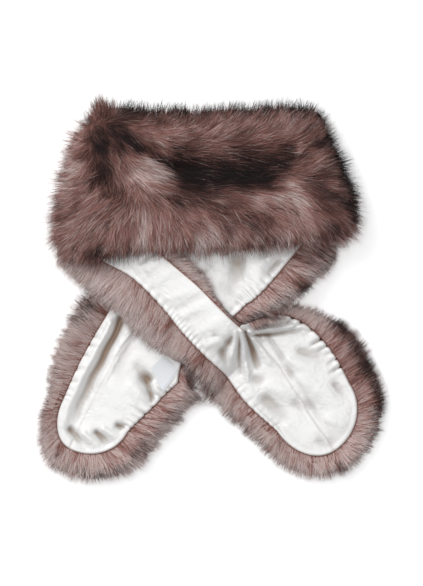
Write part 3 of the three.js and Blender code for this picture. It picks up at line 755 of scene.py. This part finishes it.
def pile_finish(colours):
    """Hair: the map's quarter gives the kind (plain, pale tip, dark tip, sooty), the rest the tone."""
    f = Finish("pile_hair", Roughness=0.6, Specular_IOR_Level=0.12)
    _, u, v = f.map_place()
    quarter = u * float(len(KINDS))
    kind = f.node("ShaderNodeMath", {"operation": "FLOOR"}, {0: quarter})
    tone = quarter - kind
    is_pale, is_dark, is_sooty = (f.equals(kind, float(k), 0.2) for k in (PALE_TIP, DARK_TIP, SOOTY))
    body = f.node("ShaderNodeValToRGB", {"stops": colours.body}, {0: tone})
    # Towards the root the hair is painted darker, as shade from the hair around it, more so in the darker
    # tones.
    root = f.blend(0.14 + tone, body, colours.root)
    shaft = f.blend(f.smoothstep(v, 0.0, 0.45), root, body)
    paled = f.blend(f.smoothstep(v, 0.30, 0.85) * is_pale * (1.0 - tone), shaft, colours.pale)
    darkened = f.blend(f.smoothstep(v, 0.56, 0.96) * (is_dark * 0.85), paled, colours.dark)
    f.feed("Base Color", f.blend(f.smoothstep(v, 0.36, 0.74) * (is_sooty * 0.95), darkened, colours.dark))
    return f.material


def hide_finish(colours):
    """The deep pile between the strands: a streaky noise from shadowed root colour to the body colour."""
    f = Finish("deep_pile", Roughness=0.9, Specular_IOR_Level=0.1)
    place = f.object_place()
    streak = f.noise(place, 420.0, 4.0)
    patch = f.noise(place, 40.0, 2.0)
    f.feed("Base Color", f.blend(streak * 0.8 * patch, colours.root, colours.hide))
    f.feed_bump(0.6, 0.002, streak)
    return f.material


def satin_finish(colours):
    """Satin: painted shade in its dips and creases, grey in shallow ones and warm brown in deep ones; a brown
    line at its sewn edges, the fur's backing at the border and painted shadow at the slit and the middle seam;
    a fine weave and small crumples as bump.
    """
    f = Finish("lining_satin", Specular_IOR_Level=0.5, Metallic=0.12)
    place = f.object_place()
    hollow = f.attribute("hollow")
    crumple = f.noise(place, 46.0, 3.0, Roughness=0.5, Distortion=0.6)
    broad = f.noise(place, 17.0, 1.0)
    weave = f.noise(place, 1400.0, 1.0)
    fine = f.noise(place, 95.0, 2.0, Distortion=0.4)
    crinkle = f.node("ShaderNodeMath", {"operation": "ABSOLUTE"}, {0: fine - 0.5})
    tint = f.node("ShaderNodeMapRange", {}, {0: broad, 1: 0.35, 2: 0.75, 3: 0.0, 4: 0.35})
    cloth = f.blend(tint, colours.satin, colours.satin_cool)
    # Painted shade in shallow dips: the cloth greyed by how far it lies below its neighbours.
    dip_shaded = f.blend(f.smoothstep(hollow, 0.1, 1.6, top=0.8), cloth, colours.satin_dim)
    # Painted shade deep in the creases: warm brown.
    crease_shaded = f.blend(f.smoothstep(hollow, 1.1, 4.2), dip_shaded, colours.satin_hollow)
    # The sewn edges' line: the fur's backing at the border, painted shadow at the slit and painted shade at the
    # middle seam.
    f.feed("Base Color", f.blend(f.attribute("edge"), crease_shaded, colours.seam))
    f.feed("Roughness", 0.34 + crumple * 0.16)
    f.feed_bump(0.5, 0.003, crumple * 0.8 + broad * 1.6 + crinkle * 0.7 + weave * 0.03)
    return f.material


def label_finish(colours):
    """Woven ribbon: close ribs across it and a stitched line along its sewn edge."""
    f = Finish("label_ribbon", Roughness=0.6)
    place, u, v = f.map_place()
    rib = f.node("ShaderNodeTexWave", {"bands_direction": "X"}, {"Vector": place, "Scale": 26.0}, out=1)
    along_stitch = f.node("ShaderNodeMath", {"operation": "FRACT"}, {0: u * 11.0})
    dash = f.node("ShaderNodeMath", {"operation": "GREATER_THAN"}, {0: along_stitch, 1: 0.35})
    cloth = f.blend(rib * 0.25, colours.label, colours.label_rib)
    f.feed("Base Color", f.blend(f.equals(v, 0.93, 0.012) * dash, cloth, colours.stitch))
    f.feed_bump(0.3, 0.0003, rib)
    return f.material


def floor_finish(colour):
    """A plain pale table, lit through from below, with a faint unevenness in its gloss."""
    f = Finish("table", Base_Color=(*colour, 1.0), Specular_IOR_Level=0.2,
               Emission_Color=(*colour, 1.0), Emission_Strength=0.35)
    f.feed("Roughness", 0.7 + f.noise(f.object_place(), 60.0, 2.0) * 0.2)
    return f.material


def colours_of(context):
    """All colours of the wrap, the chosen ones with their darker and paler companions."""
    fur = context.scene.wrap_fur
    satin = context.scene.wrap_satin
    body, pale, dark = (np.array(c) for c in (fur.body_colour, fur.pale_colour, fur.dark_colour))

    def shade(colour, share=1.0):
        return tuple(float(x) for x in np.array(colour) * share)

    return SimpleNamespace(
        body=[(0.0, shade(mix(body, pale, 0.75))), (0.30, shade(body)), (0.55, shade(body, 0.48)),
              (0.78, shade(body, 0.13)), (1.0, shade(dark))],
        # The root colour, half the body colour, is painted shade at the hairs' roots and in the deep pile.
        hide=shade(body), root=shade(body, 0.5), pale=shade(pale), dark=shade(dark, 1.2),
        # The colours of the satin's dips and creases are painted shade.
        satin=tuple(satin.colour), satin_cool=shade(satin.colour, 0.93), satin_dim=tuple(satin.dip_shade_colour),
        # The seam colour is the fur's backing at the border and painted shadow at the slit and the middle seam.
        satin_hollow=tuple(satin.crease_shade_colour), seam=tuple(satin.seam_and_shadow_colour),
        label=(0.86, 0.88, 0.91), label_rib=(0.68, 0.72, 0.78), stitch=(0.40, 0.42, 0.46))


def material_named(name, make, context):
    """The material of that name, made the first time it is asked for."""
    return bpy.data.materials.get(name) or make(colours_of(context))


class WRAP_PG_fur(bpy.types.PropertyGroup):
    """Sizes and colours of the fur"""

    collar_pile: bpy.props.FloatProperty(
        name="Collar pile", description="Length of the collar's hair, mm", default=30.0, min=5, max=60)
    border_pile: bpy.props.FloatProperty(
        name="Border pile", description="Longest hair of the rolled borders, mm", default=29.0, min=5, max=60)
    strand_width: bpy.props.FloatProperty(
        name="Strand width", description="Width of a strand at its root, mm", default=0.38, min=0.1, max=3)
    collar_strands: bpy.props.IntProperty(
        name="Collar strands", description="Strands in each of the collar's two layers", default=38000)
    border_strands: bpy.props.IntProperty(
        name="Border strands", description="Strands on each stretch's border", default=39000)
    body_colour: bpy.props.FloatVectorProperty(
        name="Hair", description="Colour of the hair's shaft", subtype="COLOR", default=(0.37, 0.172, 0.146))
    pale_colour: bpy.props.FloatVectorProperty(
        name="Pale tips", description="Colour of the pale tips", subtype="COLOR", default=(0.74, 0.645, 0.62))
    dark_colour: bpy.props.FloatVectorProperty(
        name="Dark tips", description="Colour of the dark tips", subtype="COLOR", default=(0.009, 0.006, 0.006))


class WRAP_PG_satin(bpy.types.PropertyGroup):
    """Colours of the lining"""

    colour: bpy.props.FloatVectorProperty(
        name="Satin", description="Colour of the lining", subtype="COLOR", default=(0.83, 0.825, 0.82))
    # Painted shade in the satin's shallow dips.
    dip_shade_colour: bpy.props.FloatVectorProperty(
        name="Dips", description="Colour in its shallow dips", subtype="COLOR", default=(0.50, 0.475, 0.45))
    # Painted shade deep in the satin's creases.
    crease_shade_colour: bpy.props.FloatVectorProperty(
        name="Hollows", description="Colour deep in its creases", subtype="COLOR", default=(0.27, 0.19, 0.14))
    fold_height: bpy.props.FloatProperty(
        name="Fold height", description="Height of the creases, as a share of the table's", default=1.1)
    # Colour of the sewn edges: the fur's backing at the border, painted shadow at the slit and painted shade at
    # the middle seam.
    seam_and_shadow_colour: bpy.props.FloatVectorProperty(
        name="Seams", description="Colour at its sewn edges", subtype="COLOR", default=(0.40, 0.24, 0.155))


class WRAP_PG_stage(bpy.types.PropertyGroup):
    """The table, the lights and the camera"""

    table_colour: bpy.props.FloatVectorProperty(
        name="Table", description="Colour of the table", subtype="COLOR", default=(0.93, 0.93, 0.93))
    sky: bpy.props.FloatProperty(
        name="Surrounding light", description="Strength of the white room", default=0.30)
    lamp: bpy.props.FloatProperty(
        name="Lamp", description="Power of the soft lamp", subtype="POWER", default=60.0)
    lens: bpy.props.FloatProperty(
        name="Lens", description="Focal length of the camera, mm", subtype="DISTANCE_CAMERA", default=180.0)


class WRAP_OT_stage(bpy.types.Operator):
    """Set the pale table, the soft light and the camera straight above"""

    bl_idname = "wrap.stage"
    bl_label = "Table, light and camera"

    PICTURE_HEIGHT = 586
    MM_PER_PIXEL = 1.05
    VIEW_LONG_SIDE = PICTURE_HEIGHT * MM_PER_PIXEL * MM
    VIEW_MIDDLE = (np.array([2.1, -2.1]) - MIDDLE) * MM
    SENSOR = 36.0
    TABLE_HALF = 4.0
    # Name, place, size and share of the chosen power.
    LAMPS = (("softbox", (0.0, 0.0, 3.6), 3.0, 1.0), ("key", (-1.2, 1.2, 1.5), 1.4, 0.48))

    def execute(self, context):
        props = context.scene.wrap_stage
        self.table(props)
        self.light(context.scene, props)
        self.camera(context.scene, props)
        context.scene.view_settings.view_transform = "Standard"
        return {"FINISHED"}

    def table(self, props):
        corners = self.TABLE_HALF * np.array([[-1, -1, 0], [1, -1, 0], [1, 1, 0], [-1, 1, 0]])
        floor = mesh_from("table", corners, np.array([[0, 1, 2, 3]]))
        floor.data.materials.append(floor_finish(tuple(props.table_colour)))

    def light(self, scene, props):
        world = bpy.data.worlds.new("white_room")
        world.use_nodes = True
        background = world.node_tree.nodes["Background"]
        background.inputs["Color"].default_value = (1.0, 1.0, 1.0, 1.0)
        background.inputs["Strength"].default_value = props.sky
        scene.world = world
        for name, place, size, share in self.LAMPS:
            lamp = bpy.data.lights.new(name, "AREA")
            lamp.energy = props.lamp * share
            lamp.size = size
            holder = bpy.data.objects.new(name, lamp)
            holder.location = place
            holder.rotation_euler = (-holder.location).to_track_quat("-Z", "Y").to_euler()
            scene.collection.objects.link(holder)

    def camera(self, scene, props):
        data = bpy.data.cameras.new("overhead")
        data.lens = props.lens
        data.sensor_width = self.SENSOR
        data.clip_end = 50.0
        camera = bpy.data.objects.new("overhead", data)
        camera.location = (*self.VIEW_MIDDLE, self.VIEW_LONG_SIDE * props.lens / self.SENSOR)
        scene.collection.objects.link(camera)
        scene.camera = camera


class WRAP_OT_collar_hide(bpy.types.Operator):
    """Lay the collar's hide and the layers folded under it"""

    bl_idname = "wrap.collar_hide"
    bl_label = "Collar hide"

    def execute(self, context):
        hide = material_named("deep_pile", hide_finish, context)
        _, grid = collar_hide()
        dress(ring_piece("collar_hide", grid, -1), hide, "fur", "collar_fur")
        layers = dress(ring_piece("collar_under_layers", collar_under_layers(), -1), hide, "fur")
        return {"FINISHED"}


class WRAP_OT_stretch_hides(bpy.types.Operator):
    """Lay the hides of both stretches and of the hidden half between them"""

    bl_idname = "wrap.stretch_hides"
    bl_label = "Stretch hides"

    def execute(self, context):
        hide = material_named("deep_pile", hide_finish, context)
        for name, stretch, node in (
                ("left_stretch_hide", LEFT_STRETCH, "left_stretch_fur"),
                ("right_stretch_hide", RIGHT_STRETCH, "right_stretch_fur")):
            dress(ring_piece(name, stretch_hide(stretch), -stretch.outer_side), hide, "fur", node)
        self.hidden_half(hide)
        return {"FINISHED"}

    def hidden_half(self, hide):
        """A flat slab with round ends: a section of share and height carried round a stadium outline."""
        round_points = 24
        start, end = np.array(UNDER_HALF.start), np.array(UNDER_HALF.end)
        run = unit(end - start)
        turn = np.arctan2(run[1], run[0]) - np.pi / 2 + np.linspace(0, np.pi, round_points)
        turn = np.concatenate([turn, turn + np.pi])
        centre = np.repeat([end, start], round_points, axis=0)
        share, height = np.array(UNDER_HALF.section).T
        ways = np.stack([np.cos(turn), np.sin(turn)], axis=1) * UNDER_HALF.half_width
        xy = centre[:, None] + ways[:, None] * share[None, :, None]
        grid = raised(xy, np.broadcast_to(height, xy.shape[:2]))
        piece = dress(ring_piece("hidden_half_hide", grid, 1), hide, "fur", "left_stretch_under_half")


class WRAP_OT_linings(bpy.types.Operator):
    """Lay the four halves of the satin lining in their creases"""

    bl_idname = "wrap.linings"
    bl_label = "Satin lining"

    LEFT = LEFT_STRETCH, LEFT_CREASES, LEFT_GATHERS
    RIGHT = RIGHT_STRETCH, RIGHT_CREASES, RIGHT_GATHERS
    # Piece, its stretch with creases and gathers, half (1 outer, -1 inner), CAD node, flat width and length.
    HALVES = (
        ("left_outer_satin", LEFT, 1, "left_lining_outer_half", (0.062, 0.33)),
        ("left_inner_satin", LEFT, -1, "left_lining_inner_half", (0.062, 0.155)),
        ("right_outer_satin", RIGHT, 1, "right_lining_outer_half", (0.068, 0.32)),
        ("right_inner_satin", RIGHT, -1, "right_lining_inner_half", (0.055, 0.32)),
    )

    def execute(self, context):
        satin = material_named("lining_satin", satin_finish, context)
        fold_height = context.scene.wrap_satin.fold_height
        for name, (stretch, creases, gathers), side, node, flat in self.HALVES:
            s, grid, relief, share, from_seam = lining_half(stretch, creases, gathers, side, fold_height)
            piece = open_piece(name, grid, side * stretch.outer_side)
            add_value(piece, "hollow", hollowness(relief))
            add_value(piece, "edge", self.sewn_edge(stretch, side, s, share, from_seam))
            dress(piece, satin, "satin", node)
            thicken(piece, "cloth", CLOTH)
            node.split("_")[0] + "_stretch_hide"
        return {"FINISHED"}

    def sewn_edge(self, stretch, side, s, share, from_seam):
        """How far the sewn edges take the seam colour: most at the slit, where it is painted shadow of the fur
        behind the edge; less at the border, where the fur's backing shows; faint at the middle seam, where it
        is painted shade of its groove.
        """
        slit_shadow, border, seam = 0.95, 0.55, 0.16
        in_slit = (s.u < stretch.slit_end) & (side > 0)
        middle = np.where(in_slit, slit_shadow, seam * smooth(s.u, *SEAM_SHOWS))[:, None]
        return np.maximum(border * smooth(share, 0.975, 0.997), middle * (1 - smooth(from_seam, 0.0, 1.5)))


class WRAP_OT_care_label(bpy.types.Operator):
    """Sew the label on to the lining near the border seam"""

    bl_idname = "wrap.care_label"
    bl_label = "Label"

    def execute(self, context):
        # Points evenly between the corners, over the lining's ridges, bowed up at the free edge and the middle.
        rows, columns, clearance = 25, 21, 3.4
        fold_height = context.scene.wrap_satin.fold_height
        along, across = np.meshgrid(np.linspace(0, 1, rows), np.linspace(0, 1, columns), indexing="ij")
        free_far, sewn_far, sewn_near, free_near = (np.array(c) for c in LABEL_CORNERS)
        free = mix(free_far, free_near, along[..., None])
        sewn = mix(sewn_far, sewn_near, along[..., None])
        xy = mix(free, sewn, across[..., None])
        bow = 0.5 + 2.2 * (1 - across) ** 2 + 0.6 * np.sin(np.pi * along)
        z = PILE_UNDER_LINING + clearance + fold_height * np.maximum(creases_at(RIGHT_CREASES, xy), 0) + bow
        piece = open_piece("care_label_ribbon", raised(xy, z), 1)
        dress(piece, material_named("label_ribbon", label_finish, context), "label", "care_label")
        thicken(piece, "ribbon", RIBBON)
        return {"FINISHED"}


class WRAP_OT_collar_pile(bpy.types.Operator):
    """Grow the collar's pile: a dense layer and longer guard hair over it"""

    bl_idname = "wrap.collar_pile"
    bl_label = "Collar pile"

    # Piece, seed, share of the pile's length, size of a lock, how far it is drawn in, shares of its kinds.
    LAYERS = (
        ("collar_pile", 11, 0.82, 7.0, 0.25, (0.20, 0.16, 0.02)),
        ("collar_guard_hair", 12, 1.08, 9.0, 0.35, (0.16, 0.26, 0.04)),
    )
    # Columns of the hide's grid that are turned under and bear no hair.
    TURNED_UNDER = 4
    # Distances from the outline: within the first the hair turns outwards, within the second it has stray tips.
    NEAR_EDGE = (10, 32)
    RIM = (14, 30)
    # Agreement of the brushing below which the hair parts.
    PARTING = (0.35, 0.85)

    def execute(self, context):
        props = context.scene.wrap_fur
        pile = material_named("pile_hair", pile_finish, context)
        spokes, grid = collar_hide()
        for name, seed, *kind in self.LAYERS:
            layer = self.layer(name, spokes, grid, props, np.random.default_rng(seed), *kind)
            dress(layer, pile, "fur")
        return {"FINISHED"}

    def layer(self, name, spokes, grid, props, rng, length, lock_size, gather, kinds):
        """Strands lean along the brushing and off the hide, and fall towards the edge near the outline."""
        count = props.collar_strands
        root = scatter(grid[:, self.TURNED_UNDER:], count, rng)
        normal = -root.normal
        normal *= np.sign(normal[:, 2:] + 0.15)
        centre, own = locks_of(root.place, lock_size, rng)
        loose = rng.standard_normal((count, 3))
        xy = root.place[:, :2]
        spoke = np.round(root.row).astype(int) % len(spokes.edge)
        outward = unit((spokes.edge - spokes.ridge)[spoke])
        to_edge = np.linalg.norm(spokes.edge[spoke] - xy, axis=1)
        near_edge = 1 - smooth(to_edge, *self.NEAR_EDGE)
        rim = 1 - smooth(to_edge, *self.RIM)
        brushed, agreement = brushed_way(xy)
        parting = 1 - smooth(agreement, *self.PARTING)
        way = unit(mix(brushed, outward, (0.75 * near_edge)[:, None]))
        way = turned(way, (0.18 + 0.45 * parting) * own[:, 0] + 0.14 * loose[:, 0])
        rise = 0.55 + 0.35 * parting + 0.16 * own[:, 1] + 0.12 * loose[:, 1]
        first = unit(level(way, 0.0) * 0.8 + normal * rise[:, None])
        fall = -0.10 - 0.35 * near_edge + 0.10 * loose[:, 2]
        last = level(way, fall)
        longest = np.minimum(props.collar_pile, 4 + 0.62 * to_edge) * length
        hair = longest * stray_lengths(own[:, 2], rim, rng)
        tip = xy + way * (hair * 0.75)[:, None]
        # The patches give the fur's own tone and also painted shade and painted highlights.
        tone_and_light = folds_at(COLLAR_TONE_AND_LIGHT_PATCHES, mix(xy, tip, 0.4)) + folds_at(COLLAR_RIM_PATCHES, tip)
        tone = 0.33 + 1.15 * tone_and_light + 0.12 * own[:, 1] + 0.11 * loose[:, 0]
        kind = pick_kinds(kinds, tone, rim, np.clip(tone - 0.55, 0, 1), rng)
        width = strand_widths(props.strand_width, count, rng)
        return strands(name, root.place, normal, first, last, hair, width, gather, centre, kind, tone)


class WRAP_OT_border_pile(bpy.types.Operator):
    """Grow the pile of the rolled borders, brushed outwards from the lining's seam"""

    bl_idname = "wrap.border_pile"
    bl_label = "Border pile"

    # Side, stretch, seed, and how far the hair leans forward along the stretch.
    BORDERS = (("left", LEFT_STRETCH, 21, 0.22), ("right", RIGHT_STRETCH, 22, -0.12))
    SHARES = (0.54, 0.18, 0.03)
    # Columns of the hide's grid under the border that bear no hair; a lock's size, how far it is drawn in.
    UNDERSIDE = 3
    LOCK = 6.5
    GATHER = 0.13
    # How far past the slit's end, counted in rows, hair is drawn in to the pinch.
    PINCH = 0.48

    def execute(self, context):
        props = context.scene.wrap_fur
        pile = material_named("pile_hair", pile_finish, context)
        for side, stretch, seed, lean in self.BORDERS:
            rng = np.random.default_rng(seed)
            border = dress(self.border(side + "_border_pile", stretch, lean, props, rng), pile, "fur")
        return {"FINISHED"}

    def border(self, name, stretch, lean, props, rng):
        """Strands start up and away from the seam, reach just past the fur's outline and droop at the tip.

        Along the slit they lie forward, at its end they turn in, and from a narrow border they hang over.
        """
        count = props.border_strands
        spokes, grid = border_hide(stretch)
        shown = self.shown_part(spokes)
        root = scatter(grid[shown][:, self.UNDERSIDE:], count, rng, closed=False)
        spoke = np.flatnonzero(shown)[np.minimum(np.round(root.row).astype(int), shown.sum() - 1)]
        s = SimpleNamespace(**{key: value[spoke] for key, value in vars(spokes).items()})
        outward = unit(s.tip - s.seam + 1e-6)
        depth = np.linalg.norm(s.tip - s.seam, axis=1)
        xy = root.place[:, :2]
        to_tip = np.maximum(((s.tip - xy) * outward).sum(axis=1), 0)
        normal = root.normal * np.sign(root.normal[:, 2:] + 1e-6)
        centre, own = locks_of(root.place, self.LOCK, rng)
        loose = rng.standard_normal((count, 3))
        in_slit = (s.u < stretch.slit_end) & ~s.outer
        at_pinch = ~s.outer & ~in_slit & (s.u + 0.1 * own[:, 0] < stretch.slit_end + self.PINCH)
        aside = np.where(at_pinch, -0.35, 1.0)
        forward = np.where(s.outer, lean, np.where(in_slit, 0.75, np.where(at_pinch, 1.0, -lean)))
        way = unit(aside[:, None] * outward + forward[:, None] * s.heading)
        way = turned(way, 0.13 * own[:, 0] + 0.11 * loose[:, 0])
        inner = smooth(root.column, 4, 12)
        least = np.interp(s.u, *np.transpose(stretch.least_hair))
        hanging = smooth(least, 8, 16) * (depth < 30)
        rise = mix(0.15, 0.75, inner) + 0.3 * hanging + 1.2 * at_pinch + 0.12 * own[:, 1] + 0.12 * loose[:, 1]
        first = level(way, rise)
        last = level(way, -0.14 + 0.3 * hanging + 0.14 * loose[:, 2])
        rim = (1 - smooth(to_tip, 8, 20)) * smooth(depth, 8, 20)
        hair = np.clip(to_tip * 0.90 + 1.0, least, props.border_pile) * stray_lengths(own[:, 2], rim, rng)
        hair *= 1 - np.clip(folds_at(BORDER_TRIMS, xy + way * (hair * 0.8)[:, None]), 0, 0.8)
        tip = xy + way * (hair * 0.8)[:, None]
        dark = folds_at(BORDER_PATCHES, tip)
        tone = 0.01 + 0.45 * dark + 0.10 * own[:, 1] + 0.17 * loose[:, 0]
        dark = np.clip(dark, 0, 1)
        kind = pick_kinds(self.SHARES, tone, 0.75 * rim + 1.5 * dark, 0.9 * dark, rng)
        width = strand_widths(props.strand_width, count, rng)
        return strands(name, root.place, normal, first, last, hair, width, self.GATHER, centre, kind, tone)

    def shown_part(self, s):
        """Spokes whose border shows: not most of the hidden start, nor where a border is pressed flat."""
        deep = np.linalg.norm(s.tip - s.seam, axis=1) > 3.0
        return deep & ((s.turn < np.pi + 1e-6) | (s.turn > 1.45 * np.pi))


class WRAP_PT_panel(bpy.types.Panel):
    """Sidebar panel of the wrap"""

    bl_idname = "WRAP_PT_panel"
    bl_label = "Fur Collar Wrap"
    bl_space_type = "VIEW_3D"
    bl_region_type = "UI"
    bl_category = "Wrap"

    def draw(self, context):
        for group in (context.scene.wrap_fur, context.scene.wrap_satin, context.scene.wrap_stage):
            box = self.layout.box()
            for key in group.__annotations__:
                box.prop(group, key)
        for operator in OPERATORS:
            self.layout.operator(operator.bl_idname)


OPERATORS = (
    WRAP_OT_stage,
    WRAP_OT_collar_hide,
    WRAP_OT_stretch_hides,
    WRAP_OT_linings,
    WRAP_OT_care_label,
    WRAP_OT_collar_pile,
    WRAP_OT_border_pile,
)
CLASSES = (WRAP_PG_fur, WRAP_PG_satin, WRAP_PG_stage, *OPERATORS, WRAP_PT_panel)


def register():
    for cls in CLASSES:
        bpy.utils.register_class(cls)
    bpy.types.Scene.wrap_fur = bpy.props.PointerProperty(type=WRAP_PG_fur)
    bpy.types.Scene.wrap_satin = bpy.props.PointerProperty(type=WRAP_PG_satin)
    bpy.types.Scene.wrap_stage = bpy.props.PointerProperty(type=WRAP_PG_stage)


def unregister():
    del bpy.types.Scene.wrap_stage
    del bpy.types.Scene.wrap_satin
    del bpy.types.Scene.wrap_fur
    for cls in reversed(CLASSES):
        bpy.utils.unregister_class(cls)


def main():
    register()
    bpy.ops.wrap.stage()
    bpy.ops.wrap.collar_hide()
    bpy.ops.wrap.stretch_hides()
    bpy.ops.wrap.linings()
    bpy.ops.wrap.care_label()
    bpy.ops.wrap.collar_pile()
    bpy.ops.wrap.border_pile()


if __name__ == "__main__":
    main()
